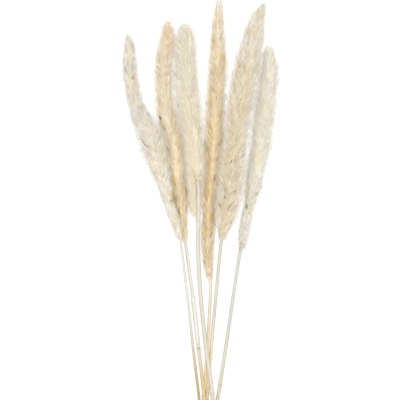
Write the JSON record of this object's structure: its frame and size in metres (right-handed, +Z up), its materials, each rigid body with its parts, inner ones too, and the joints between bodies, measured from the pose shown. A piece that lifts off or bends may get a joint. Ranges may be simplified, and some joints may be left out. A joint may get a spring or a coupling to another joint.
{
  "type": "dried common reed bunch",
  "caption": "Loose bunch of dried common reed: soft feathery plumes that fan out from thin straw-coloured stems tied with raffia, lying flat.",
  "frame": {"origin": "on the surface that the bunch lies on, under the middle of its box", "axes": "+Y along the bunch towards the tips of the plumes, +X to the right as seen from above, +Z up from the surface"},
  "size_m": [0.1536, 0.49, 0.023],
  "materials": {
    "plume_cream": "soft dry plume, matte with a faint silky sheen",
    "plume_tan": "soft dry plume, matte with a faint silky sheen",
    "plume_pale": "soft dry plume, matte with a faint silky sheen",
    "plume_golden": "soft dry plume, matte with a faint silky sheen",
    "plume_beige": "soft dry plume, matte with a faint silky sheen",
    "plume_grey": "soft dry plume, matte with a faint silky sheen",
    "culm_straw": "dry straw, satin with fine lengthwise lines",
    "raffia": "dry raffia fibre, matte"
  },
  "bodies": {
    "root": {"plume_1": "plume_cream", "plume_2": "plume_tan", "plume_3": "plume_pale", "plume_4": "plume_golden", "plume_5": "plume_beige", "plume_6": "plume_grey", "stem_1": "culm_straw", "stem_2": "culm_straw", "stem_3": "culm_straw", "stem_4": "culm_straw", "stem_5": "culm_straw", "stem_6": "culm_straw", "tie": "raffia"}
  },
  "joints": []
}
